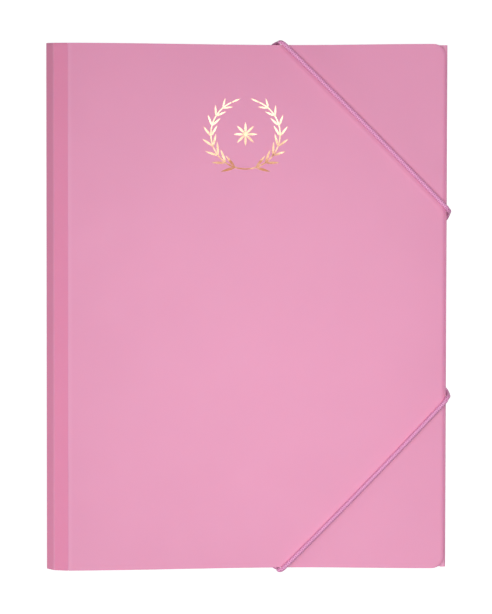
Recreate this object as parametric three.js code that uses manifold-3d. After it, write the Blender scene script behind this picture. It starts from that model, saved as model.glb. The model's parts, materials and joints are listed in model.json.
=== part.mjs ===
// Elastic folder: a three-flap document folder of creased polypropylene sheet.
// It lies closed on its back, with two round elastics hooked over the corners of its mouth.
// Millimetres. X runs from the spine to the mouth, Y along the spine and Z up.
// The origin is the middle of the back cover's outer face.

import * as THREE from 'three';
import { mergeVertices } from 'three/addons/utils/BufferGeometryUtils.js';
import Module from 'manifold-3d';

const wasm = await Module();
wasm.setup();

// Driving sizes of the creased sheet
const backWidth = 243.5;          // from the back crease to the side flap's fold
const spineLength = 320;
const sheet = 0.7;              // sheet thickness
const spineHalf = 9.1;          // each of the two strips that make the spine
const backStripReach = 4.4;     // how far the strip next to the back cover leans in, seen from above
const frontStripReach = 8.6;    // the same for the strip next to the front cover
const hingeGap = 0.15;          // kept free on each side of a crease that opens
const foldRadius = 1;           // outside of a flap's fold

// Driving sizes of the three inner flaps
const flapInset = 0.8;          // end flaps fold this far inside the spine's ends
const pocketHeight = 4.6;       // clear height under the end flaps
const layerGap = 0.3;           // air between two sheets that lie on each other
const endFlapDepth = 72;
const sideFlapDepth = 70;
const endFlapTaper = 14;        // each slanting end of a flap
const sideFlapTaper = 26;
const flapCorner = 14;
const flapSpineClearance = 7;   // end flaps start this far from the back crease
const flapCornerClearance = 0.8;
const flapLap = 3;              // strip of each flap's fold that runs into the back cover
const elasticPull = 0.6;        // how far an elastic draws in the end flap's fold
const pullSpread = 50;

// Driving sizes of the front cover
const mouthSetback = 1.2;       // free edge inside the side flap's fold
const coverCorner = 7.5;
const coverBelly = 0.9;         // rise of the middle over a flat sheet
const coverPress = 0.9;         // how far an elastic presses down the cover's end
const pressSpread = 55;
const cornerFlare = 1.1;        // rise of the free corners beyond the elastics
const crossingTrim = 1;         // cover's end inside the spine's end where an elastic crosses it
const cornerTrim = 0.1;         // the same at the free corners

// Driving sizes of the elastics and their clips
const cordDiameter = 2.6;
const cordGap = 0.25;           // air between a cord and the sheet under it
const crossingX = 23.5;         // where both elastics cross the cover's ends
const upperCrossingY = 61.4;    // where the upper one crosses the mouth
const lowerCrossingY = 58.2;
const holeInset = 8;            // cord holes from the folds
const endHoleX = 6;
const sideHoleY = 41.8;
const holeClearance = 0.4;      // all round the cord
const cordSides = 8;
const cordTail = 0.6;           // end of the cord above its clip
const clipLength = 13;
const clipWidth = 3;
const clipPlate = 0.8;
const clipCollarWall = 0.7;
const clipCollarHeight = 2;
const clipBoreClearance = 0.25;

// Driving sizes of the foil ornament
const ornamentX = -1.3;
const ornamentDrop = 55;        // its middle below the cover's upper end
const wreathRadius = 21;
const wreathOpening = 24;       // half of the gap at its top, in degrees
const wreathStem = 0.7;
const leafPairs = 9;            // on each branch
const leafLength = 9.6;
const leafWidth = 3;
const leafAngle = 34;           // from the stem, in degrees
const tipShare = 0.62;          // size of the last leaves
const petals = 8;
const petalLength = 6.4;
const petalWidth = 2.6;
const blossomHeart = 1.7;
const foil = 0.12;              // foil thickness
const foilGap = 0.1;

// Sizes that follow from the driving ones
const backX = -backWidth / 2;
const foldX = backWidth / 2;
const spineEnd = spineLength / 2;
const endFold = spineEnd - flapInset;
const endFlapTop = sheet + pocketHeight + sheet;
const sideFlapTop = endFlapTop + layerGap + sheet;
const mouthX = foldX - mouthSetback;
const mouthHeight = sideFlapTop + layerGap + sheet;
const cordRadius = cordDiameter / 2;
const cordOffset = cordRadius + cordGap;
const ornamentY = spineEnd - ornamentDrop;

// Corners of the spine in the XZ plane, on the sheet's outer face
const backCrease = new THREE.Vector2(backX, 0);
const middleCrease = new THREE.Vector2(
  backX + backStripReach,
  Math.sqrt(spineHalf ** 2 - backStripReach ** 2),
);
const frontCrease = new THREE.Vector2(
  middleCrease.x + frontStripReach,
  middleCrease.y + Math.sqrt(spineHalf ** 2 - frontStripReach ** 2),
);

// Joining and cutting closed meshes
function solid(geometry) {
  const bare = geometry.clone();
  bare.deleteAttribute('normal');
  bare.deleteAttribute('uv');
  const merged = mergeVertices(bare, 1e-4);
  return new wasm.Manifold(new wasm.Mesh({
    numProp: 3,
    vertProperties: new Float32Array(merged.attributes.position.array),
    triVerts: new Uint32Array(merged.index.array),
  }));
}

function geometryOf(body) {
  const mesh = body.getMesh();
  const geometry = new THREE.BufferGeometry();
  geometry.setAttribute('position', new THREE.BufferAttribute(mesh.vertProperties, 3));
  geometry.setIndex(new THREE.BufferAttribute(mesh.triVerts, 1));
  geometry.computeVertexNormals();
  return geometry;
}

// An outline in the XZ plane, carried along Y from one end to the other
function alongY(points, from, to) {
  const shape = new THREE.Shape(points);
  const geometry = new THREE.ExtrudeGeometry(shape, { depth: to - from, bevelEnabled: false });
  return geometry.rotateX(Math.PI / 2).translate(0, to, 0);
}

// An outline in the YZ plane, carried along X in equal steps
function alongX(points, from, to, steps) {
  const shape = new THREE.Shape(points);
  const settings = { depth: to - from, steps, bevelEnabled: false };
  const turn = new THREE.Matrix4().makeBasis(
    new THREE.Vector3(0, 1, 0),
    new THREE.Vector3(0, 0, 1),
    new THREE.Vector3(1, 0, 0),
  );
  return new THREE.ExtrudeGeometry(shape, settings).applyMatrix4(turn).translate(from, 0, 0);
}

// A flat outline in the XY plane, from one height to another
function upright(shape, from, to) {
  const settings = { depth: to - from, bevelEnabled: false, curveSegments: 6 };
  return new THREE.ExtrudeGeometry(shape, settings).translate(0, 0, from);
}

function arc(centreX, centreY, radius, fromDegrees, toDegrees, steps) {
  const points = [];
  for (let i = 0; i <= steps; i += 1) {
    const angle = THREE.MathUtils.degToRad(fromDegrees + ((toDegrees - fromDegrees) * i) / steps);
    points.push(new THREE.Vector2(centreX + radius * Math.cos(angle), centreY + radius * Math.sin(angle)));
  }
  return points;
}

// Smooth hill of height 1 around a place
function hill(offset, spread) {
  return Math.exp(-((offset / spread) ** 2));
}

// Inner corner of a bent sheet, where its outer face turns from one direction to another
function innerCorner(corner, incoming, outgoing) {
  const turn = (outgoing.angle() - incoming.angle() + 3 * Math.PI) % (2 * Math.PI) - Math.PI;
  const inward = new THREE.Vector2(incoming.y, -incoming.x);
  const shift = -Math.tan(turn / 2) * sheet;
  return corner.clone().addScaledVector(inward, sheet).addScaledVector(incoming, -shift);
}

// Directions of the sheet round the spine, from the back cover to the front cover
const backDirection = new THREE.Vector2(-1, 0);
const lowerStrip = middleCrease.clone().sub(backCrease).normalize();
const upperStrip = frontCrease.clone().sub(middleCrease).normalize();
const coverDirection = new THREE.Vector2(mouthX, mouthHeight).sub(frontCrease).normalize();
const backInner = innerCorner(backCrease, backDirection, lowerStrip);
const middleInner = innerCorner(middleCrease, lowerStrip, upperStrip);
const frontInner = innerCorner(frontCrease, upperStrip, coverDirection);

// End flap's fold line: straight, but drawn in where the elastic grips it
function foldLine(x) {
  return endFold - elasticPull * hill(x - crossingX, pullSpread);
}

// Section of a flap: a lap of the back cover, the fold up, the gusset, the fold in and the flap
function flapSection(top, depth) {
  const innerRadius = foldRadius - sheet;
  return [
    new THREE.Vector2(-flapLap, 0),
    ...arc(-foldRadius, foldRadius, foldRadius, -90, 0, 4),
    ...arc(-foldRadius, top - foldRadius, foldRadius, 0, 90, 4),
    new THREE.Vector2(-depth, top),
    new THREE.Vector2(-depth, top - sheet),
    ...arc(-foldRadius, top - foldRadius, innerRadius, 90, 0, 3),
    ...arc(-foldRadius, foldRadius, innerRadius, 0, -90, 3),
    new THREE.Vector2(-flapLap, sheet),
  ];
}

// Plan of a flap: full length at its fold, slanting ends and rounded free corners
function flapPlan(start, end, depth, taper) {
  const slant = taper / (depth - flapLap);
  const beforeCorner = depth - flapCorner;
  const inset = slant * (beforeCorner - flapLap);
  const outside = flapLap;
  const shape = new THREE.Shape();
  shape.moveTo(start, outside);
  shape.lineTo(start, -flapLap);
  shape.lineTo(start + inset, -beforeCorner);
  shape.quadraticCurveTo(start + taper, -depth, start + taper + flapCorner, -depth);
  shape.lineTo(end - taper - flapCorner, -depth);
  shape.quadraticCurveTo(end - taper, -depth, end - inset, -beforeCorner);
  shape.lineTo(end, -flapLap);
  shape.lineTo(end, outside);
  shape.closePath();
  return upright(shape, -sheet, sideFlapTop + sheet);
}

function endFlap(side) {
  const start = backX + flapSpineClearance;
  const end = foldX - sheet - flapCornerClearance;
  const section = flapSection(endFlapTop, endFlapDepth).map((p) => new THREE.Vector2(side * p.x, p.y));
  const band = alongX(section, start, end, 24);
  const place = band.attributes.position;
  for (let i = 0; i < place.count; i += 1) {
    place.setY(i, place.getY(i) + side * foldLine(place.getX(i)));
  }
  const plan = flapPlan(start, end, endFlapDepth, endFlapTaper);
  if (side < 0) {
    plan.rotateZ(Math.PI).translate(start + end, 0, 0);
  }
  plan.translate(0, side * endFold, 0);
  return solid(band).intersect(solid(plan));
}

function sideFlap() {
  const band = alongY(flapSection(sideFlapTop, sideFlapDepth), -endFold, endFold);
  const plan = flapPlan(-endFold, endFold, sideFlapDepth, sideFlapTaper).rotateZ(-Math.PI / 2);
  return solid(band).intersect(solid(plan)).translate([foldX, 0, 0]);
}

// Back cover's flat, between the back crease and the three folds
function backFlat() {
  const left = backX + flapLap;
  const right = foldX - foldRadius;
  const stations = 24;
  const shape = new THREE.Shape();
  shape.moveTo(left, foldRadius - foldLine(left));
  for (let i = 1; i <= stations; i += 1) {
    const x = left + ((right - left) * i) / stations;
    shape.lineTo(x, foldRadius - foldLine(x));
  }
  for (let i = stations; i >= 0; i -= 1) {
    const x = left + ((right - left) * i) / stations;
    shape.lineTo(x, foldLine(x) - foldRadius);
  }
  shape.closePath();
  return solid(upright(shape, 0, sheet));
}

// Strip of the back cover that ends in the mitred edge of the back crease
function backEdge() {
  const length = endFold - foldRadius;
  const points = [
    new THREE.Vector2(backCrease.x + hingeGap, 0),
    new THREE.Vector2(backX + 2 * flapLap, 0),
    new THREE.Vector2(backX + 2 * flapLap, sheet),
    new THREE.Vector2(backInner.x + hingeGap, sheet),
  ];
  return solid(alongY(points, -length, length));
}

const cordHoles = [
  { name: 'upper_end_clip', x: endHoleX, y: endFold - holeInset, turn: 0 },
  { name: 'upper_side_clip', x: foldX - holeInset, y: sideHoleY, turn: Math.PI / 2 },
  { name: 'lower_end_clip', x: endHoleX, y: holeInset - endFold, turn: 0 },
  { name: 'lower_side_clip', x: foldX - holeInset, y: -sideHoleY, turn: Math.PI / 2 },
];

function backPanel() {
  let body = backFlat().add(backEdge()).add(endFlap(1)).add(endFlap(-1)).add(sideFlap());
  for (const hole of cordHoles) {
    const punch = new THREE.CylinderGeometry(
      cordRadius + holeClearance,
      cordRadius + holeClearance,
      3 * sheet,
      20,
    );
    punch.rotateX(Math.PI / 2).translate(hole.x, hole.y, sheet / 2);
    body = body.subtract(solid(punch));
  }
  return geometryOf(body);
}

// Spine: two strips with a crease between them
function spinePanel() {
  const outline = [
    backCrease.clone().addScaledVector(lowerStrip, hingeGap),
    middleCrease,
    frontCrease.clone().addScaledVector(upperStrip, -hingeGap),
    frontInner.clone().addScaledVector(upperStrip, -hingeGap),
    middleInner,
    backInner.clone().addScaledVector(lowerStrip, hingeGap),
  ];
  return alongY(outline, -spineEnd, spineEnd);
}

// Outer face of the front cover: highest at the front crease, domed, pressed by the elastics
function coverHeight(x, y) {
  const across = (x - frontCrease.x) / (mouthX - frontCrease.x);
  const along = Math.abs(y) / spineEnd;
  const slope = frontCrease.y + (mouthHeight - frontCrease.y) * across;
  const belly = coverBelly * 4 * across * (1 - across) * (1 - along ** 2);
  const press = coverPress * hill(x - crossingX, pressSpread) * along ** 6;
  const beyond = (x - crossingX) / (foldX - crossingX) + (Math.abs(y) - spineEnd) / (spineEnd - upperCrossingY);
  const flare = cornerFlare * Math.max(0, beyond) ** 2;
  return slope + belly - press + flare;
}

// Half length of the front cover, seen from above
function coverHalf(x) {
  const across = (x - frontCrease.x) / (mouthX - frontCrease.x);
  const waist = (crossingX - frontCrease.x) / (mouthX - frontCrease.x);
  if (across < waist) {
    const ease = 0.5 - 0.5 * Math.cos((Math.PI * across) / waist);
    return spineEnd - crossingTrim * ease;
  }
  const ease = 0.5 - 0.5 * Math.cos((Math.PI * (across - waist)) / (1 - waist));
  return spineEnd - crossingTrim + (crossingTrim - cornerTrim) * ease;
}

// Rows of the front cover: even along the straight edge, closer round its corners
function coverRows() {
  const straight = 1 - coverCorner / spineEnd;
  const rows = [];
  const even = 16;
  const round = 5;
  for (let i = 0; i <= round; i += 1) {
    const angle = (Math.PI / 2) * (1 - i / round);
    rows.push(-straight - (1 - straight) * Math.sin(angle));
  }
  for (let i = 1; i < even; i += 1) {
    rows.push(straight * ((2 * i) / even - 1));
  }
  return rows.concat(rows.slice(0, round + 1).reverse().map((row) => -row));
}

function frontCover() {
  const rows = coverRows();
  const columns = 24;
  const geometry = new THREE.BoxGeometry(1, 1, 1, columns, rows.length - 1, 1);
  const place = geometry.attributes.position;
  const straight = 1 - coverCorner / spineEnd;
  for (let i = 0; i < place.count; i += 1) {
    const across = place.getX(i) + 0.5;
    const row = rows[Math.round((place.getY(i) + 0.5) * (rows.length - 1))];
    const outer = place.getZ(i) > 0;
    const round = Math.max(0, (Math.abs(row) - straight) / (1 - straight));
    const right = mouthX - coverCorner * (1 - Math.sqrt(1 - Math.min(1, round) ** 2));
    const left = (outer ? frontCrease.x : frontInner.x) + hingeGap;
    const x = left + (right - left) * across;
    const y = row * coverHalf(x);
    place.setXYZ(i, x, y, coverHeight(x, y) - (outer ? 0 : sheet));
  }
  return geometryOf(solid(geometry));
}

// Lays flat foil onto the front cover
function pressedOn(body) {
  const geometry = geometryOf(body);
  const place = geometry.attributes.position;
  for (let i = 0; i < place.count; i += 1) {
    const x = place.getX(i) + ornamentX;
    const y = place.getY(i) + ornamentY;
    place.setXYZ(i, x, y, place.getZ(i) + foilGap + coverHeight(x, y));
  }
  return geometry;
}

// A pointed leaf that grows from the origin along X
function leaf(length, width) {
  const shape = new THREE.Shape();
  shape.moveTo(-wreathStem / 2, 0);
  shape.quadraticCurveTo(length * 0.4, -width, length, 0);
  shape.quadraticCurveTo(length * 0.4, width, -wreathStem / 2, 0);
  return upright(shape, 0, foil);
}

// Two leafy branches that part at the bottom and almost meet at the top
function wreath() {
  const degree = Math.PI / 180;
  const from = (90 + wreathOpening) * degree;
  const to = (450 - wreathOpening) * degree;
  const band = new THREE.Shape();
  band.absarc(0, 0, wreathRadius + wreathStem / 2, from, to, false);
  band.absarc(0, 0, wreathRadius - wreathStem / 2, to, from, true);
  const stem = new THREE.ExtrudeGeometry(band, { depth: foil, bevelEnabled: false, curveSegments: 40 });
  let body = solid(stem);
  const reach = 180 - wreathOpening;
  for (const side of [-1, 1]) {
    for (let i = 1; i <= leafPairs; i += 1) {
      const around = (-90 + (side * reach * i) / leafPairs) * degree;
      const heading = around + side * Math.PI / 2;
      const size = 1 + ((tipShare - 1) * i) / leafPairs;
      const turns = i < leafPairs ? [-leafAngle, leafAngle] : [0];
      for (const turn of turns) {
        const one = leaf(leafLength * size, leafWidth * size);
        one.rotateZ(heading + turn * degree);
        one.translate(wreathRadius * Math.cos(around), wreathRadius * Math.sin(around), 0);
        body = body.add(solid(one));
      }
    }
  }
  return pressedOn(body);
}

function blossom() {
  const heart = new THREE.CylinderGeometry(blossomHeart, blossomHeart, foil, 20);
  let body = solid(heart.rotateX(Math.PI / 2).translate(0, 0, foil / 2));
  for (let i = 0; i < petals; i += 1) {
    const one = leaf(petalLength, petalWidth).translate(blossomHeart * 0.5, 0, 0);
    body = body.add(solid(one.rotateZ((2 * Math.PI * i) / petals)));
  }
  return pressedOn(body);
}

// A cord's way round an edge, from the front cover over the flap's two folds to its clip.
// x is the distance out from the fold, y the height.
function wrap(coverOut, coverTop, flapTop) {
  const clipTop = sheet + clipCollarHeight + cordTail;
  const foldOffset = foldRadius + cordOffset;
  const coverEdge = new THREE.Vector2(coverOut, coverTop);
  const upperFold = new THREE.Vector2(-foldRadius, flapTop - foldRadius);
  const between = upperFold.clone().sub(coverEdge);
  const leaving = between.angle() + Math.acos(-foldRadius / between.length()) - 2 * Math.PI;
  const leavingDegrees = Math.max(0, THREE.MathUtils.radToDeg(leaving));
  const overFold = arc(upperFold.x, upperFold.y, foldOffset, leavingDegrees, 0, 2);
  return [
    ...arc(coverEdge.x, coverEdge.y, cordOffset, 90, leavingDegrees, 3),
    ...(leavingDegrees > 0 ? overFold : []),
    ...arc(-foldRadius, foldRadius, foldOffset, 0, -90, 4),
    ...arc(cordOffset - holeInset, 0, cordOffset, -90, -180, 3),
    new THREE.Vector2(-holeInset, sheet),
    new THREE.Vector2(-holeInset, clipTop),
  ];
}

// Lays a wrap out in space: the cord goes on sideways at an even rate until it meets its hole
function layWrap(section, place) {
  let total = 0;
  const lengths = section.map((point, i) => {
    total += i === 0 ? 0 : point.distanceTo(section[i - 1]);
    return total;
  });
  const flat = lengths[section.length - 3];
  return section.map((point, i) => place(point.x, Math.min(1, lengths[i] / flat), point.y));
}

// Cord route that keeps one ring at each of its points
class Route extends THREE.CatmullRomCurve3 {
  getPointAt(u) {
    return this.getPoint(u);
  }

  getTangentAt(u) {
    return this.getTangent(u);
  }
}

// Elastic over one corner of the mouth; side is 1 for the upper one and -1 for the lower one
function elastic(side, crossingY) {
  const endOut = coverHalf(crossingX) - foldLine(crossingX);
  const endTop = coverHeight(crossingX, coverHalf(crossingX));
  const endWrap = layWrap(wrap(endOut, endTop, endFlapTop), (out, share, up) => {
    const x = crossingX + (endHoleX - crossingX) * share;
    const y = THREE.MathUtils.lerp(foldLine(crossingX), endFold, share) + out;
    return new THREE.Vector3(x, side * y, up);
  });
  const mouthTop = coverHeight(mouthX, crossingY);
  const mouthWrap = layWrap(wrap(mouthX - foldX, mouthTop, sideFlapTop), (out, share, up) => {
    const y = crossingY + (sideHoleY - crossingY) * share;
    return new THREE.Vector3(foldX + out, side * y, up);
  });
  const crossing = [];
  const stations = 6;
  for (let i = 1; i < stations; i += 1) {
    const x = crossingX + ((mouthX - crossingX) * i) / stations;
    const y = coverHalf(crossingX) + ((crossingY - coverHalf(crossingX)) * i) / stations;
    crossing.push(new THREE.Vector3(x, side * y, coverHeight(x, y) + cordOffset));
  }
  const points = [...endWrap.reverse(), ...crossing, ...mouthWrap];
  const route = new Route(points, false, 'centripetal');
  const section = new THREE.Shape();
  for (let i = 0; i < cordSides; i += 1) {
    const angle = (2 * Math.PI * i) / cordSides;
    const x = cordRadius * Math.cos(angle);
    const y = cordRadius * Math.sin(angle);
    if (i === 0) {
      section.moveTo(x, y);
    } else {
      section.lineTo(x, y);
    }
  }
  section.closePath();
  return new THREE.ExtrudeGeometry(section, { steps: points.length - 1, extrudePath: route });
}

// Metal end clip: a bar with round ends and a collar that is crimped on the cord's end
function clip() {
  const half = (clipLength - clipWidth) / 2;
  const bar = new THREE.Shape();
  bar.absarc(half, 0, clipWidth / 2, -Math.PI / 2, Math.PI / 2);
  bar.absarc(-half, 0, clipWidth / 2, Math.PI / 2, 1.5 * Math.PI);
  const bore = cordRadius + clipBoreClearance;
  const collarRadius = bore + clipCollarWall;
  const collar = new THREE.CylinderGeometry(collarRadius, collarRadius, clipCollarHeight, 20);
  const drill = new THREE.CylinderGeometry(bore, bore, 3 * clipCollarHeight, 20);
  collar.rotateX(Math.PI / 2).translate(0, 0, clipCollarHeight / 2);
  drill.rotateX(Math.PI / 2);
  return geometryOf(solid(upright(bar, 0, clipPlate)).add(solid(collar)).subtract(solid(drill)));
}

// Materials
const sheetPink = new THREE.MeshStandardMaterial({ color: 0xe89dbe, roughness: 0.45, metalness: 0 });
const cordPink = new THREE.MeshStandardMaterial({ color: 0xd98cbc, roughness: 0.85, metalness: 0 });
const goldFoil = new THREE.MeshStandardMaterial({ color: 0xe6c79a, roughness: 0.3, metalness: 1 });
const clipSteel = new THREE.MeshStandardMaterial({ color: 0xb9b9b6, roughness: 0.35, metalness: 1 });

const folder = new THREE.Group();

function piece(name, geometry, material) {
  const mesh = new THREE.Mesh(geometry, material);
  mesh.name = name;
  folder.add(mesh);
  return mesh;
}

piece('back_panel', backPanel(), sheetPink);
piece('spine_panel', spinePanel(), sheetPink);
piece('front_cover', frontCover(), sheetPink);
piece('foil_wreath', wreath(), goldFoil);
piece('foil_blossom', blossom(), goldFoil);
piece('upper_elastic', elastic(1, upperCrossingY), cordPink);
piece('lower_elastic', elastic(-1, lowerCrossingY), cordPink);
for (const hole of cordHoles) {
  const mesh = piece(hole.name, clip(), clipSteel);
  mesh.position.set(hole.x, hole.y, sheet);
  mesh.rotation.z = hole.turn;
}

export default folder;
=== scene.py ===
import json
import math

import bpy
from mathutils import Matrix, Vector


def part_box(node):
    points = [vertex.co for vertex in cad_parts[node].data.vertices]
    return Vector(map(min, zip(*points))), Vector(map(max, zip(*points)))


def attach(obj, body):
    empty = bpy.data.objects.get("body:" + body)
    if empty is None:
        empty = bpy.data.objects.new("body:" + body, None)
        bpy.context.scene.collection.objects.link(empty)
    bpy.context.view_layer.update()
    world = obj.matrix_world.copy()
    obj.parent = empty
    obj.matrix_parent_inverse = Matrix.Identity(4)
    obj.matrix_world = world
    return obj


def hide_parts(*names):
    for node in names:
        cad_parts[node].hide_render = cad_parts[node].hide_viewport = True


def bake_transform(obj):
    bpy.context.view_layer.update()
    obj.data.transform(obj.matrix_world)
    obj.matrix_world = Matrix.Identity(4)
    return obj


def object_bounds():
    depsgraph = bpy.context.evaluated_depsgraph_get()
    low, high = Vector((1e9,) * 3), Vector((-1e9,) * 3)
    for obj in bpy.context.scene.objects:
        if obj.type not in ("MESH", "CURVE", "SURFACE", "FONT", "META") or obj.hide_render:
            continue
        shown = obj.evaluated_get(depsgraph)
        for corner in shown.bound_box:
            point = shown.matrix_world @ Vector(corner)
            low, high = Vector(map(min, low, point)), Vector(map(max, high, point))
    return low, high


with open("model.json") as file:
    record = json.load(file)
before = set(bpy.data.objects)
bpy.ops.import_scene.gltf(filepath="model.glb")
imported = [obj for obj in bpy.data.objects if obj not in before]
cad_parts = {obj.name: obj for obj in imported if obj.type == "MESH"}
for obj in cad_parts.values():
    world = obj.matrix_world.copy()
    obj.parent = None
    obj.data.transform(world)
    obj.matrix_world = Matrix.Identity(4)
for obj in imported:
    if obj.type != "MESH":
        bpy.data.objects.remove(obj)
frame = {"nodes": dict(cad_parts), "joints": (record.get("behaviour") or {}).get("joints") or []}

cad_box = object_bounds()

# Back cover with its three flaps
# The largest part of one blank of pink polypropylene, 0.7 mm thick. Its flaps are folded in on creases
# pressed into the sheet, and the free edges are die-cut. The sheet is extruded, so it is satin and faintly
# cloudy, with a fine sand grain.
mm = 0.001
sheet = 0.7 * mm
back_low, back_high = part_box("back_panel")


def linear(red, green, blue):
    """A colour as a screen shows it, 0 to 255, as an amount of light."""
    def channel(value):
        share = value / 255
        return share / 12.92 if share <= 0.04045 else ((share + 0.055) / 1.055) ** 2.4
    return (channel(red), channel(green), channel(blue), 1)


sheet_pink = linear(232, 147, 185)
sheet_pale = linear(240, 171, 203)


def new_material(name):
    """An empty material and its node tree, with an output to link to."""
    material = bpy.data.materials.new(name)
    material.use_nodes = True
    material.node_tree.nodes.clear()
    return material, material.node_tree


def add_node(tree, kind, inputs=None, **fields):
    """A shader node with its fields set and its inputs filled or linked."""
    node = tree.nodes.new(kind)
    for field, value in fields.items():
        setattr(node, field, value)
    for socket, value in (inputs or {}).items():
        if isinstance(value, bpy.types.NodeSocket):
            tree.links.new(value, node.inputs[socket])
        else:
            node.inputs[socket].default_value = value
    return node


def add_math(tree, operation, first, second=0.0):
    return add_node(tree, "ShaderNodeMath", {0: first, 1: second}, operation=operation).outputs[0]


def mix_colours(tree, share, first, second):
    node = add_node(tree, "ShaderNodeMix", {0: share, 6: first, 7: second}, data_type="RGBA")
    return node.outputs[2]


def add_noise(tree, place, scale, detail):
    """Cloudy noise from 0 to 1. A scale of 1000 gives grains about a millimetre wide."""
    noise = add_node(tree, "ShaderNodeTexNoise", {"Vector": place, "Scale": scale, "Detail": detail})
    return noise.outputs[0]


def between(tree, share, low, high):
    """A number that goes from low to high as the share goes from 0 to 1."""
    return add_node(tree, "ShaderNodeMapRange", {"Value": share, "To Min": low, "To Max": high}).outputs[0]


def add_relief(tree, height, strength, distance):
    """Fine relief for a Normal socket."""
    sizes = {"Height": height, "Strength": strength, "Distance": distance}
    return add_node(tree, "ShaderNodeBump", sizes).outputs[0]


def finish_material(tree, shader):
    add_node(tree, "ShaderNodeOutputMaterial", {"Surface": shader.outputs[0]})


def satin_polypropylene(name, pale_lines=(), whitening_and_highlight=0.3, gloss=0.5, pink=sheet_pink):
    """Satin pink sheet. pale_lines are (axis, place, half width) of creases, stress-whitened on the back,
    painted highlights elsewhere.
    """
    material, tree = new_material(name)
    place = add_node(tree, "ShaderNodeTexCoord").outputs["Object"]
    cloud = add_noise(tree, place, 16.0, 4.0)
    darker = tuple(0.965 * part for part in pink[:3]) + (1,)
    lighter = tuple(1.025 * part for part in pink[:3]) + (1,)
    colour = mix_colours(tree, cloud, darker, lighter)
    along = add_node(tree, "ShaderNodeSeparateXYZ", {"Vector": place})
    for axis, line, half_width in pale_lines:
        offset = add_math(tree, "ABSOLUTE", add_math(tree, "SUBTRACT", along.outputs[axis], line))
        band = add_node(
            tree,
            "ShaderNodeMapRange",
            {
                "Value": offset,
                "From Min": 0.3 * half_width,
                "From Max": half_width,
                "To Min": whitening_and_highlight,
                "To Max": 0.0,
            },
            interpolation_type="SMOOTHSTEP",
        )
        # Paler colour along each crease: stress whitening on the back's flaps, a painted highlight beside
        # the cover's and spine's creases.
        colour = mix_colours(tree, band.outputs[0], colour, sheet_pale)
    sand = add_noise(tree, place, 2400.0, 2.0)
    rub = add_noise(tree, place, 55.0, 3.0)
    skin = add_node(
        tree,
        "ShaderNodeBsdfPrincipled",
        {
            "Base Color": colour,
            "Roughness": between(tree, rub, 0.33, 0.43),
            "Normal": add_relief(tree, sand, 0.25, 0.03 * mm),
            "IOR": 1.49,
            "Specular IOR Level": gloss,
            "Subsurface Weight": 0.08,
            "Subsurface Scale": 1.2 * mm,
        },
    )
    finish_material(tree, skin)
    return material


def dress(piece, material):
    """Gives a piece one material all over."""
    piece.data.materials.clear()
    piece.data.materials.append(material)


def dress_node(node, material):
    """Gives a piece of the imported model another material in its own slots."""
    for slot in frame["nodes"][node].material_slots:
        slot.link = "OBJECT"
        slot.material = material


flap_crease = 1.2 * mm
dress_node("back_panel", satin_polypropylene("folded_back_sheet", [
    ("X", back_high.x - flap_crease, 1.6 * mm),
    ("Y", back_high.y - flap_crease, 1.6 * mm),
    ("Y", back_low.y + flap_crease, 1.6 * mm),
]))

# Clips of the elastics
# Pressed steel bars with round ends and a rolled collar, one crimped on each end of each elastic. They lie
# inside the back cover across their punched holes.


def pressed_steel():
    material, tree = new_material("pressed_steel")
    place = add_node(tree, "ShaderNodeTexCoord").outputs["Object"]
    brushed = add_node(tree, "ShaderNodeMapping", {"Vector": place, "Scale": (1, 14, 1)})
    streaks = add_noise(tree, brushed.outputs[0], 900.0, 3.0)
    skin = add_node(
        tree,
        "ShaderNodeBsdfPrincipled",
        {
            "Base Color": linear(200, 200, 197),
            "Metallic": 1.0,
            "Roughness": between(tree, streaks, 0.24, 0.42),
            "Normal": add_relief(tree, streaks, 0.2, 0.02 * mm),
        },
    )
    finish_material(tree, skin)
    return material


steel = pressed_steel()
for clip in ("upper_end_clip", "upper_side_clip", "lower_end_clip", "lower_side_clip"):
    dress_node(clip, steel)

# Spine
# Two narrow strips of the same sheet with a pressed crease between them. The crease stays bent, so the
# strip beside the back stands steep and the one beside the front cover leans flatter.
joints = {joint["name"]: joint for joint in frame["joints"]}
back_crease = Vector(joints["spine_fold"]["pos_m"])
front_crease = Vector(joints["cover_fold"]["pos_m"])
spine_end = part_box("spine_panel")[1].y
spine_half = 9.1 * mm
back_strip_reach = 4.4 * mm
hinge_gap = 0.15 * mm
crease_round = 0.9 * mm
cut_round = 0.16 * mm
layer_gap = 0.3 * mm
back_strip_rise = math.sqrt(spine_half ** 2 - back_strip_reach ** 2)
middle_crease = back_crease + Vector((back_strip_reach, 0, back_strip_rise))
lower_strip = (middle_crease - back_crease).normalized()
upper_strip = (front_crease - middle_crease).normalized()


def side_of(direction):
    """Direction across the sheet, from its outer to its inner face, in the XZ plane."""
    return Vector((direction.z, 0, -direction.x))


def mitre(incoming, outgoing):
    """From a crease on the outer face to the same crease on the inner face."""
    middle = side_of(incoming) + side_of(outgoing)
    return middle * (sheet / (middle.dot(side_of(incoming))))


def bend(before, corner, after, share):
    """Point on a rounded corner."""
    return before * (1 - share) ** 2 + corner * (2 * share * (1 - share)) + after * share ** 2


def smooth_piece(name, points, faces, sharp_above=50):
    """A named object made of points and faces, smooth but for its sharp edges."""
    mesh = bpy.data.meshes.new(name)
    mesh.from_pydata([tuple(point) for point in points], [], faces)
    mesh.validate()
    mesh.update()
    mesh.polygons.foreach_set("use_smooth", [True] * len(mesh.polygons))
    mesh.set_sharp_from_angle(angle=math.radians(sharp_above))
    piece = bpy.data.objects.new(name, mesh)
    bpy.context.scene.collection.objects.link(piece)
    return piece


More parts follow.
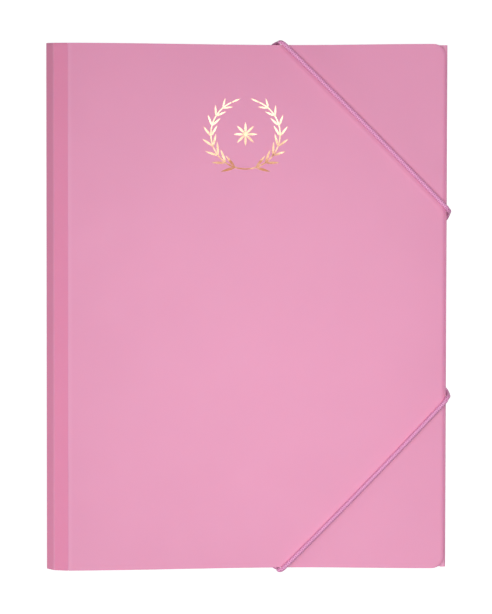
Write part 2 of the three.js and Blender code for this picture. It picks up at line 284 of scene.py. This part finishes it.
def sheet_piece(name, columns, rows, place):
    """A sheet with two faces and a rounded cut edge all round.

    place(column, row, depth, inset) gives a point: depth is 0 on the outer face and 1 on the inner one,
    and inset is how far the point keeps inside the cut edge.
    """
    stride = rows + 1
    points = []
    for depth in (0, 1):
        for i in range(columns + 1):
            for j in range(stride):
                points.append(place(i, j, depth, cut_round))
    inner = len(points) // 2
    faces = []
    for i in range(columns):
        for j in range(rows):
            corner = i * stride + j
            quad = (corner, corner + stride, corner + stride + 1, corner + 1)
            faces.append(quad)
            faces.append(tuple(inner + k for k in reversed(quad)))
    rim = [(i, 0) for i in range(columns)]
    rim += [(columns, j) for j in range(rows)]
    rim += [(i, rows) for i in range(columns, 0, -1)]
    rim += [(0, j) for j in range(rows, 0, -1)]
    rings = [[i * stride + j for i, j in rim]]
    for depth, inset in ((0.1, 0.3 * cut_round), (0.3, 0), (0.7, 0), (0.9, 0.3 * cut_round)):
        rings.append([len(points) + k for k in range(len(rim))])
        points += [place(i, j, depth, inset) for i, j in rim]
    rings.append([inner + i * stride + j for i, j in rim])
    for upper, lower in zip(rings, rings[1:]):
        for k in range(len(rim)):
            after = (k + 1) % len(rim)
            faces.append((upper[k], lower[k], lower[after], upper[after]))
    return smooth_piece(name, points, faces)


mouth_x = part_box("front_cover")[1].x
mouth_height = back_high.z + sheet + layer_gap
cover_direction = (Vector((mouth_x, 0, mouth_height)) - front_crease).normalized()
back_mitre = mitre(Vector((-1, 0, 0)), lower_strip)
middle_mitre = mitre(lower_strip, upper_strip)
front_mitre = mitre(upper_strip, cover_direction)


def spine_section(steps_flat, steps_bend):
    """Pairs of points, on the outer and the inner face, from the back crease to the front crease."""
    start = back_crease + lower_strip * hinge_gap
    end = front_crease - upper_strip * hinge_gap
    before = middle_crease - lower_strip * crease_round
    after = middle_crease + upper_strip * crease_round
    inner_start = start + back_mitre
    inner_before = before + side_of(lower_strip) * sheet
    inner_after = after + side_of(upper_strip) * sheet
    inner_end = end + front_mitre
    pairs = []
    for i in range(steps_flat):
        share = i / steps_flat
        pairs.append((start.lerp(before, share), inner_start.lerp(inner_before, share)))
    for i in range(steps_bend):
        share = i / steps_bend
        outer = bend(before, middle_crease, after, share)
        pairs.append((outer, bend(inner_before, middle_crease + middle_mitre, inner_after, share)))
    for i in range(steps_flat + 1):
        share = i / steps_flat
        pairs.append((after.lerp(end, share), inner_after.lerp(inner_end, share)))
    return pairs


spine_pairs = spine_section(8, 8)
spine_rows = 160
spine_sway = 0.05 * mm
spine_skin = 0.02 * mm


def on_spine(i, j, depth, inset):
    outer, inner = spine_pairs[i]
    share = 2 * j / spine_rows - 1
    point = outer.lerp(inner, depth)
    point.y = share * (spine_end - inset)
    sway = spine_sway * math.sin(3.1 * share + 0.4) * math.sin(math.pi * i / (len(spine_pairs) - 1))
    return point + side_of(upper_strip) * (sway + spine_skin)


spine = sheet_piece("spine_strips", len(spine_pairs) - 1, spine_rows, on_spine)
# Painted shade: the spine's pink is a touch deeper than the cover's and its gloss is low, so the spine
# shows a shade darker.
spine_shade_pink = linear(233, 145, 180)
# Painted highlight: a pale line along the spine's middle crease.
middle_crease_highlight = ("X", middle_crease.x, 0.8 * mm)
dress(spine, satin_polypropylene("spine_sheet", [middle_crease_highlight], gloss=0.06, pink=spine_shade_pink))
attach(spine, "spine")
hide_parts("spine_panel")

# Front cover
# The other wing of the blank, with two die-cut round corners at the mouth. It is held at the front crease
# and by the elastics only, so it domes a little, is pressed down where they cross it, and its free corners
# lift.
mouth_fold = back_high.x
cover_corner = 7.5 * mm
cover_belly = 0.9 * mm
cover_press = 0.9 * mm
press_spread = 55 * mm
corner_flare = 1.1 * mm
crossing_trim = 1.0 * mm
corner_trim = 0.1 * mm
crossing_x = 23.5 * mm
upper_crossing_y = 61.4 * mm
lower_crossing_y = 58.2 * mm


def cover_height(x, y):
    """Outer face of the closed front cover."""
    across = (x - front_crease.x) / (mouth_x - front_crease.x)
    along = abs(y) / spine_end
    slope = front_crease.z + (mouth_height - front_crease.z) * across
    belly = cover_belly * 4 * across * (1 - across) * (1 - along ** 2)
    press = cover_press * math.exp(-((x - crossing_x) / press_spread) ** 2) * along ** 6
    beyond = (x - crossing_x) / (mouth_fold - crossing_x)
    beyond += (abs(y) - spine_end) / (spine_end - upper_crossing_y)
    return slope + belly - press + corner_flare * max(0, beyond) ** 2


def cover_half(x):
    """Half of the front cover's length, seen from above."""
    across = (x - front_crease.x) / (mouth_x - front_crease.x)
    waist = (crossing_x - front_crease.x) / (mouth_x - front_crease.x)
    if across < waist:
        return spine_end - crossing_trim * (0.5 - 0.5 * math.cos(math.pi * across / waist))
    ease = 0.5 - 0.5 * math.cos(math.pi * (across - waist) / (1 - waist))
    return spine_end - crossing_trim + (crossing_trim - corner_trim) * ease


def sheet_sway(x, y):
    """Unevenness that an extruded sheet keeps, always towards the inside."""
    broad = math.sin(41 * x + 17 * y + 0.6) * math.sin(29 * y - 13 * x + 1.9)
    fine = math.sin(97 * x - 61 * y + 2.3) * math.sin(83 * y + 37 * x)
    return 0.03 * mm * (broad - 1) + 0.01 * mm * (fine - 1)


def cover_row_places(straight_rows, round_rows):
    """Rows of the cover from -1 to 1: even along its straight edge and closer round its corners."""
    straight = 1 - cover_corner / spine_end
    corner = []
    for i in range(round_rows + 1):
        corner.append(straight + (1 - straight) * math.sin(0.5 * math.pi * i / round_rows))
    middle = [straight * (2 * i / straight_rows - 1) for i in range(1, straight_rows)]
    return [-row for row in reversed(corner)] + middle + corner


cover_rows = cover_row_places(150, 14)
cover_columns = 130


def on_cover(i, j, depth, inset):
    straight = 1 - cover_corner / spine_end
    row = cover_rows[j]
    corner = max(0, (abs(row) - straight) / (1 - straight))
    radius = cover_corner - inset
    right = mouth_x - inset - radius * (1 - math.sqrt(max(0, 1 - corner ** 2)))
    left = front_crease.x + hinge_gap + front_mitre.x * depth
    x = left + (right - left) * i / cover_columns
    y = row * (cover_half(x) - inset)
    return Vector((x, y, cover_height(x, y) + sheet_sway(x, y) - sheet * depth))


cover = sheet_piece("cover_sheet", cover_columns, len(cover_rows) - 1, on_cover)
# Painted highlight: a lighter band just beside the front crease, where the sheet curves.
crease_line = ("X", front_crease.x + 0.8 * mm, 2.0 * mm)
dress(cover, satin_polypropylene("front_sheet", [crease_line], whitening_and_highlight=0.18))
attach(cover, "front")
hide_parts("front_cover")

# Creases that open
# The same sheet, crushed thin along a line so that it folds there thousands of times. Each one joins two
# parts of the blank; here each band is built as it lies in the closed folder.
crease_skin = 0.03 * mm
crease_thickness = 0.3 * mm
crease_reach = 0.5 * mm
crease_bend = 0.28 * mm


def crease_band(name, crease, first, second, first_side, second_side, length, steps=8):
    """A thin strip bent over a crease. first and second point away from it into the two sheets."""
    half = (first + second).normalized()
    spread = half.dot(first_side)
    rings = []
    for depth in (crease_skin, crease_skin + crease_thickness):
        corner = crease + half * (depth / spread)
        before = crease + first * crease_bend + first_side * depth
        after = crease + second * crease_bend + second_side * depth
        line = [crease + first * crease_reach + first_side * depth]
        line += [bend(before, corner, after, i / steps) for i in range(steps + 1)]
        line += [crease + second * crease_reach + second_side * depth]
        rings.append(line)
    section = rings[0] + rings[1][::-1]
    stations = 60
    points = []
    for j in range(stations + 1):
        y = length * (2 * j / stations - 1)
        points += [Vector((point.x, y, point.z)) for point in section]
    count = len(section)
    faces = []
    for j in range(stations):
        for k in range(count):
            a = j * count + k
            b = j * count + (k + 1) % count
            faces.append((a, b, b + count, a + count))
    faces.append(tuple(reversed(range(count))))
    faces.append(tuple(range(stations * count, (stations + 1) * count)))
    return smooth_piece(name, points, faces)


crease_material = satin_polypropylene("creased_sheet")
into_back = Vector((1, 0, 0))
back_hinge = crease_band(
    "back_crease_line",
    back_crease,
    into_back,
    lower_strip,
    Vector((0, 0, 1)),
    side_of(lower_strip),
    back_high.y - 1.4 * mm,
)
front_hinge = crease_band(
    "front_crease_line",
    front_crease,
    -upper_strip,
    cover_direction,
    side_of(upper_strip),
    side_of(cover_direction),
    spine_end - 0.3 * mm,
)
for hinge in (back_hinge, front_hinge):
    dress(hinge, crease_material)
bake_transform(back_hinge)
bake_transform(front_hinge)

# Elastics
# Round rubber cord in a braided cover, 2.6 mm thick, dyed a little more lilac than the sheet. Each one goes
# down from its clips through two punched holes and is stretched round one corner of the closed folder.
cord_radius = 1.3 * mm
cord_gap = 0.25 * mm
cord_offset = cord_radius + cord_gap
fold_radius = 1.0 * mm
hole_inset = 8 * mm
end_hole_x = 6 * mm
side_hole_y = 41.8 * mm
cord_bow = 0.4 * mm
braid_depth = 0.1 * mm
braid_skin = 0.01 * mm
cord_top = sheet + 2.6 * mm
flap_inset = 0.8 * mm
end_fold = spine_end - flap_inset
fold_pull = 0.6 * mm
pull_spread = 50 * mm
side_flap_top = back_high.z
end_flap_top = side_flap_top - sheet - layer_gap
# The cord lies a little nearer the spine than the place where the cover's ends are pressed down most.
cord_x = crossing_x - 0.8 * mm


def fold_line(x):
    """End flap's fold, drawn in where the elastic grips it."""
    return end_fold - fold_pull * math.exp(-((x - crossing_x) / pull_spread) ** 2)


def arc(centre, radius, start, end, steps):
    """Points of an arc in the upright plane across a fold, as (out, up)."""
    angles = [math.radians(start + (end - start) * i / steps) for i in range(steps + 1)]
    return [centre + Vector((math.cos(angle), math.sin(angle))) * radius for angle in angles]


def wrap(cover_out, cover_top, flap_top):
    """A cord's way round an edge: over the cover, down the gusset, under the back, up its hole."""
    cover_edge = Vector((cover_out, cover_top))
    upper_fold = Vector((-fold_radius, flap_top - fold_radius))
    gusset = upper_fold - cover_edge
    heading = math.atan2(-gusset.y, -gusset.x) + math.pi
    leaving = math.degrees(heading + math.acos(-fold_radius / gusset.length) - 2 * math.pi)
    route = arc(cover_edge, cord_offset, 90, max(0, leaving), 3)
    if leaving > 0:
        route += arc(upper_fold, fold_radius + cord_offset, leaving, 0, 2)
    route += arc(Vector((-fold_radius, fold_radius)), fold_radius + cord_offset, 0, -90, 4)
    route += arc(Vector((cord_offset - hole_inset, 0)), cord_offset, -90, -180, 3)
    route += [Vector((-hole_inset, sheet)), Vector((-hole_inset, cord_top))]
    return route


# How far a wrap has drifted sideways: it leaves the cover aslant, goes down the gusset steeply and then
# slants again under the back. Pairs of a share of its length and a share of its drift.
end_drift = ((0, 0), (0.11, 0.17), (0.48, 0.21), (1, 1))
upper_mouth_drift = ((0, 0), (0.11, 0.12), (0.48, 0.25), (1, 1))
lower_mouth_drift = ((0, 0), (0.11, 0.18), (0.48, 0.31), (1, 1))


def drift_at(share, drift):
    for (start, low), (end, high) in zip(drift, drift[1:]):
        if share <= end:
            return low + (high - low) * (share - start) / (end - start)
    return 1


def lay_wrap(section, drift, place):
    """Lays a wrap out in space, from the cover's edge to the cord's hole."""
    lengths = [0]
    for before, after in zip(section, section[1:]):
        lengths.append(lengths[-1] + (after - before).length)
    flat = lengths[-3]
    wrapped = []
    for point, length in zip(section, lengths):
        wrapped.append(place(point.x, drift_at(min(1, length / flat), drift), point.y))
    return wrapped


def elastic_points(side, crossing_y, mouth_drift):
    """Points of one elastic from its end clip to its side clip. side is 1 for the upper one, -1 below."""
    def at_end(out, share, up):
        x = cord_x + (end_hole_x - cord_x) * share
        y = fold_line(crossing_x) + (end_fold - fold_line(crossing_x)) * share + out
        return Vector((x, side * y, up))

    def at_mouth(out, share, up):
        y = crossing_y + (side_hole_y - crossing_y) * share
        return Vector((mouth_fold + out, side * y, up))

    half = cover_half(crossing_x)
    end_section = wrap(half - fold_line(crossing_x), cover_height(crossing_x, half), end_flap_top)
    end_wrap = lay_wrap(end_section, end_drift, at_end)
    mouth_section = wrap(mouth_x - mouth_fold, cover_height(mouth_x, crossing_y), side_flap_top)
    mouth_wrap = lay_wrap(mouth_section, mouth_drift, at_mouth)
    crossing = []
    for share in (0.015, 0.15, 0.3, 0.5, 0.7, 0.85, 0.985):
        bow = cord_bow * 4 * share * (1 - share)
        x = cord_x + (mouth_x - cord_x) * share + bow
        y = half + (crossing_y - half) * share + bow
        crossing.append(Vector((x, side * y, cover_height(x, y) + cord_offset)))
    return end_wrap[::-1] + crossing + mouth_wrap


def smooth_route(points, step):
    """A smooth curve through the points, in steps of about the given length."""
    points = [a for a, b in zip(points, points[1:]) if (b - a).length > 1e-6] + [points[-1]]
    ends = [points[0] * 2 - points[1]] + points + [points[-1] * 2 - points[-2]]
    route = []
    for p0, p1, p2, p3 in zip(ends, ends[1:], ends[2:], ends[3:]):
        k0 = math.sqrt((p1 - p0).length)
        k1 = math.sqrt((p2 - p1).length)
        k2 = math.sqrt((p3 - p2).length)
        leave = ((p1 - p0) / k0 - (p2 - p0) / (k0 + k1) + (p2 - p1) / k1) * k1
        arrive = ((p2 - p1) / k1 - (p3 - p1) / (k1 + k2) + (p3 - p2) / k2) * k1
        count = max(2, math.ceil((p2 - p1).length / step))
        for i in range(count):
            t = i / count
            route.append(
                p1 * (1 - 3 * t ** 2 + 2 * t ** 3)
                + leave * (t - 2 * t ** 2 + t ** 3)
                + p2 * (3 * t ** 2 - 2 * t ** 3)
                + arrive * (t ** 3 - t ** 2)
            )
    return route + [points[-1]]


def braided_cord(name, route, radius, sides=24, strands=6, pitch=3.0 * mm):
    """A cord along a route with the relief of its braid, and a UV map that runs round and along it."""
    points = []
    lengths = []
    length = 0
    across = None
    for k, place in enumerate(route):
        before = route[max(0, k - 1)]
        after = route[min(len(route) - 1, k + 1)]
        heading = (after - before).normalized()
        if across is None:
            across = heading.orthogonal().normalized()
        across = (across - heading * across.dot(heading)).normalized()
        up = heading.cross(across)
        length += (place - before).length if k else 0
        lengths.append(length)
        for i in range(sides):
            angle = 2 * math.pi * i / sides
            turn = strands * i / sides
            rise = length / pitch
            over = abs(math.sin(math.pi * (turn + rise)))
            under = abs(math.sin(math.pi * (turn - rise)))
            reach = radius - braid_depth * (1 - max(over, under)) - braid_skin
            points.append(place + (across * math.cos(angle) + up * math.sin(angle)) * reach)
    faces = []
    places = []
    for k in range(len(route) - 1):
        for i in range(sides):
            after = (i + 1) % sides
            faces.append((k * sides + i, k * sides + after, (k + 1) * sides + after, (k + 1) * sides + i))
            for u, v in ((i, k), (i + 1, k), (i + 1, k + 1), (i, k + 1)):
                places.append((u / sides, lengths[v] / pitch))
    last = (len(route) - 1) * sides
    faces.append(tuple(reversed(range(sides))))
    faces.append(tuple(range(last, last + sides)))
    places += [(0.5, 0.0)] * (2 * sides)
    piece = smooth_piece(name, points, faces)
    layer = piece.data.uv_layers.new(name="braid")
    for loop, place in enumerate(places):
        layer.data[loop].uv = place
    return piece


def braided_rubber(strands=6):
    """Braided lilac-pink yarn: two sets of strands that cross, with painted shade where they dive under
    each other.
    """
    material, tree = new_material("braided_elastic")
    places = add_node(tree, "ShaderNodeTexCoord").outputs["UV"]
    split = add_node(tree, "ShaderNodeSeparateXYZ", {"Vector": places})
    turn = add_math(tree, "MULTIPLY", split.outputs["X"], float(strands))
    waves = []
    for operation in ("ADD", "SUBTRACT"):
        run = add_math(tree, operation, turn, split.outputs["Y"])
        wave = add_math(tree, "SINE", add_math(tree, "MULTIPLY", run, math.pi))
        waves.append(add_math(tree, "ABSOLUTE", wave))
    height = add_math(tree, "MAXIMUM", waves[0], waves[1])
    shade = add_node(tree, "ShaderNodeMapRange", {"Value": height, "From Min": 0.55, "From Max": 1.0})
    # Painted shade: the colour darkens from the crowns of the strands into the hollows between them.
    colour = mix_colours(tree, shade.outputs[0], linear(192, 110, 162), linear(242, 166, 210))
    fibres = add_math(tree, "MULTIPLY", add_noise(tree, places, 90.0, 3.0), 0.35)
    yarn_height = add_math(tree, "ADD", height, fibres)
    skin = add_node(
        tree,
        "ShaderNodeBsdfPrincipled",
        {
            "Base Color": colour,
            "Roughness": 0.45,
            "Normal": add_relief(tree, yarn_height, 0.5, 0.05 * mm),
            "Sheen Weight": 0.1,
            "Sheen Roughness": 0.4,
        },
    )
    finish_material(tree, skin)
    return material


braid = braided_rubber()
for name, side, crossing_y, mouth_drift in (
    ("upper", 1, upper_crossing_y, upper_mouth_drift),
    ("lower", -1, lower_crossing_y, lower_mouth_drift),
):
    route = smooth_route(elastic_points(side, crossing_y, mouth_drift), 0.35 * mm)
    elastic = braided_cord(f"{name}_braided_cord", route, cord_radius)
    dress(elastic, braid)
    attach(elastic, "back")
    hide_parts(f"{name}_elastic")

# Gold stamping
# A wreath of two leafy branches round a small blossom, in pale gold foil that a hot die pressed onto the
# front cover. Each leaf has its mid-rib left open, and fine lines are engraved across it.
ornament = Vector((-1.3 * mm, spine_end - 55 * mm))
wreath_radius = 21 * mm
wreath_opening = 24
wreath_stem = 0.7 * mm
leaf_pairs = 9
leaf_length = 9.6 * mm
leaf_width = 3 * mm
leaf_angle = 34
tip_share = 0.62
petals = 8
petal_length = 6.4 * mm
petal_width = 2.6 * mm
blossom_heart = 1.7 * mm
foil_top = 0.1 * mm
foil_bite = 0.02 * mm
rib_half = 0.1 * mm
leaf_lines = 12


class Foil:
    """Collects flat foil forms round the middle of the ornament and lays them on the cover."""

    def __init__(self):
        self.points = []
        self.faces = []
        self.places = []

    def add_strip(self, left, right, along):
        """A strip between two lines of flat points, with its top, its edges and its underside."""
        start = len(self.points)
        for a, b in zip(left, right):
            for flat, up in ((a, -foil_bite), (a, foil_top), (b, foil_top), (b, -foil_bite)):
                x = ornament.x + flat.x
                y = ornament.y + flat.y
                self.points.append(Vector((x, y, cover_height(x, y) + sheet_sway(x, y) + up)))
        for k in range(len(left) - 1):
            for i in range(4):
                a = start + 4 * k + i
                b = start + 4 * k + (i + 1) % 4
                self.faces.append((a, b, b + 4, a + 4))
                across = (0, 0, 1, 1)
                for u, v in ((k, i), (k, (i + 1) % 4), (k + 1, (i + 1) % 4), (k + 1, i)):
                    self.places.append((along[u], across[v]))

    def add_leaf(self, length, width, root, heading, steps=16):
        """A pointed leaf that grows from its root, in two halves with the mid-rib open between them."""
        forward = Vector((math.cos(heading), math.sin(heading)))
        left_hand = Vector((-forward.y, forward.x))
        for side in (-1, 1):
            inner = []
            outer = []
            along = []
            for i in range(steps + 1):
                t = i / steps
                run = (1 - t) ** 2 * (-wreath_stem / 2) + 2 * t * (1 - t) * 0.4 * length + t ** 2 * length
                half = 2 * t * (1 - t) * width / 2
                rib = min(rib_half * (1 - t), 0.35 * half)
                inner.append(root + forward * run + left_hand * (side * rib))
                outer.append(root + forward * run + left_hand * (side * half))
                along.append(run / length)
            if side > 0:
                inner, outer = outer, inner
            self.add_strip(outer, inner, along)

    def make(self, name):
        piece = smooth_piece(name, self.points, self.faces, sharp_above=40)
        layer = piece.data.uv_layers.new(name="leaf")
        for loop, place in enumerate(self.places):
            layer.data[loop].uv = place
        return piece


def ring_strip(form, radius, width, start, end, steps):
    """A round strip of foil, from one angle to another in degrees."""
    inner = []
    outer = []
    for i in range(steps + 1):
        angle = math.radians(start + (end - start) * i / steps)
        ray = Vector((math.cos(angle), math.sin(angle)))
        inner.append(ray * (radius - width / 2))
        outer.append(ray * (radius + width / 2))
    form.add_strip(inner, outer, [i / steps for i in range(steps + 1)])


def stamped_gold():
    """Hot-stamped foil with a painted reflection: paler up the cover and browner towards the lower leaves.
    """
    material, tree = new_material("stamped_gold")
    coordinates = add_node(tree, "ShaderNodeTexCoord")
    place = coordinates.outputs["Object"]
    split = add_node(tree, "ShaderNodeSeparateXYZ", {"Vector": place})
    # Painted reflection: the colour runs from brown at the lower leaves to pale cream at the top, by height
    # on the cover, with random patches.
    low = ornament.y - 28 * mm
    high = ornament.y + 24 * mm
    rise = add_node(
        tree,
        "ShaderNodeMapRange",
        {"Value": split.outputs["Y"], "From Min": low, "From Max": high},
    )
    patches = add_noise(tree, place, 160.0, 2.0)
    shift = add_math(tree, "MULTIPLY", add_math(tree, "SUBTRACT", patches, 0.5), 0.9)
    painted_reflection_and_patches = add_math(tree, "ADD", rise.outputs[0], shift)
    ramp = add_node(tree, "ShaderNodeValToRGB", {"Fac": painted_reflection_and_patches})
    ramp.color_ramp.elements[0].position = 0.1
    ramp.color_ramp.elements[0].color = linear(140, 94, 62)
    ramp.color_ramp.elements[1].position = 0.75
    ramp.color_ramp.elements[1].color = linear(236, 212, 176)
    wear = add_noise(tree, place, 900.0, 3.0)
    run = add_node(tree, "ShaderNodeSeparateXYZ", {"Vector": coordinates.outputs["UV"]})
    lines = add_math(tree, "SINE", add_math(tree, "MULTIPLY", run.outputs["X"], 2 * math.pi * leaf_lines))
    height = add_math(tree, "ADD", wear, add_math(tree, "MULTIPLY", lines, 0.3))
    skin = add_node(
        tree,
        "ShaderNodeBsdfPrincipled",
        {
            "Base Color": ramp.outputs[0],
            "Metallic": 1.0,
            "Roughness": between(tree, wear, 0.2, 0.4),
            "Normal": add_relief(tree, height, 0.25, 0.03 * mm),
        },
    )
    finish_material(tree, skin)
    return material


gold = stamped_gold()
wreath = Foil()
ring_strip(wreath, wreath_radius, wreath_stem, 90 + wreath_opening, 450 - wreath_opening, 160)
for side in (-1, 1):
    for i in range(1, leaf_pairs + 1):
        around = math.radians(-90 + side * (180 - wreath_opening) * i / leaf_pairs)
        heading = around + side * math.pi / 2
        size = 1 + (tip_share - 1) * i / leaf_pairs
        root = Vector((math.cos(around), math.sin(around))) * wreath_radius
        turns = (-leaf_angle, leaf_angle) if i < leaf_pairs else (0,)
        for turn in turns:
            wreath.add_leaf(leaf_length * size, leaf_width * size, root, heading + math.radians(turn))
wreath_foil = wreath.make("stamped_wreath")

blossom = Foil()
ring_strip(blossom, 0.45 * blossom_heart, 0.9 * blossom_heart, 0, 360, 40)
for i in range(petals):
    heading = 2 * math.pi * i / petals
    root = Vector((math.cos(heading), math.sin(heading))) * (0.5 * blossom_heart)
    blossom.add_leaf(petal_length, petal_width, root, heading)
blossom_foil = blossom.make("stamped_blossom")

for stamp, node in ((wreath_foil, "foil_wreath"), (blossom_foil, "foil_blossom")):
    dress(stamp, gold)
    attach(stamp, "front")
    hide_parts(node)

# Floor
# A plain white sweep under the folder. It shows white to the camera and in glossy reflections, and keeps
# the folder's soft shadow.
floor_half = 6.0
floor_z = min(cad_box[0][2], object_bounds()[0][2])


def white_sweep():
    material, tree = new_material("white_sweep")
    rays = add_node(tree, "ShaderNodeLightPath")
    mirrored = add_math(tree, "MAXIMUM", rays.outputs["Is Glossy Ray"], rays.outputs["Is Transmission Ray"])
    mirrored = add_math(tree, "MULTIPLY", mirrored, 0.6)
    seen = add_math(tree, "MULTIPLY", rays.outputs["Is Camera Ray"], 0.84)
    paint = add_node(tree, "ShaderNodeBsdfDiffuse", {"Color": (0.45, 0.45, 0.45, 1)})
    glow = add_node(tree, "ShaderNodeEmission", {"Strength": add_math(tree, "MAXIMUM", seen, mirrored)})
    both = add_node(tree, "ShaderNodeAddShader", {0: paint.outputs[0], 1: glow.outputs[0]})
    finish_material(tree, both)
    return material


floor_mesh = bpy.data.meshes.new("floor")
floor_corners = ((-1, -1), (1, -1), (1, 1), (-1, 1))
floor_points = [(x * floor_half, y * floor_half, floor_z) for x, y in floor_corners]
floor_mesh.from_pydata(floor_points, [], [(0, 1, 2, 3)])
floor = bpy.data.objects.new("floor", floor_mesh)
bpy.context.scene.collection.objects.link(floor)
dress(floor, white_sweep())

# Light
# A softbox over the folder's lower end and a wide one under the ceiling leave the cover a fifth darker at
# its upper end. One at the left lights the spine, one beyond the upper end lights the edge there, and the
# studio round them is a dim even grey.


def softbox(name, place, target, width, length, watts):
    lamp = bpy.data.lights.new(name, "AREA")
    lamp.shape = "RECTANGLE"
    lamp.size = width
    lamp.size_y = length
    lamp.energy = watts
    holder = bpy.data.objects.new(name, lamp)
    holder.location = place
    holder.rotation_euler = (Vector(target) - Vector(place)).to_track_quat("-Z", "Y").to_euler()
    holder.visible_camera = False
    bpy.context.scene.collection.objects.link(holder)


softbox("overhead_softbox", (0.03, -0.11, 0.46), (0.03, -0.11, 0), 0.36, 0.5, 1.25)
softbox("ceiling_softbox", (0.12, 0.05, 1.2), (0.12, 0.05, 0), 1.2, 1.2, 4.9)
softbox("left_softbox", (-1.1, -0.55, 0.16), (-0.1, -0.05, 0), 0.5, 0.26, 5.6)
softbox("upper_softbox", (0.25, 1.25, 1.0), (0.0, 0.0, 0), 0.25, 0.25, 4.6)
world = bpy.data.worlds.new("grey_studio")
world.use_nodes = True
world.node_tree.nodes["Background"].inputs["Color"].default_value = (1, 1, 1, 1)
world.node_tree.nodes["Background"].inputs["Strength"].default_value = 0.1
bpy.context.scene.world = world
bpy.context.scene.view_settings.view_transform = "Standard"

# Camera
# It hangs 2.2 m over the folder and looks down on it, 3 degrees off the upright in two directions. The
# whole folder is in view.
aim = Vector((-0.5 * mm, -0.05 * mm, 4.0 * mm))
camera_distance = 2.2
focal_pixels = 3614.64
image_height = 614
tilt = Matrix.Rotation(0.053845, 3, "X")
lean = Matrix.Rotation(0.055294, 3, "Y")
roll = Matrix.Rotation(0.0013736, 3, "Z")
to_world = (roll @ lean @ tilt).transposed()
lens = bpy.data.cameras.new("camera")
lens.sensor_width = 36
lens.lens = 36 * focal_pixels / image_height
lens.clip_end = 20
camera = bpy.data.objects.new("camera", lens)
camera_place = aim + to_world @ Vector((0, 0, camera_distance))
camera.matrix_world = Matrix.Translation(camera_place) @ to_world.to_4x4()
bpy.context.scene.collection.objects.link(camera)
bpy.context.scene.camera = camera
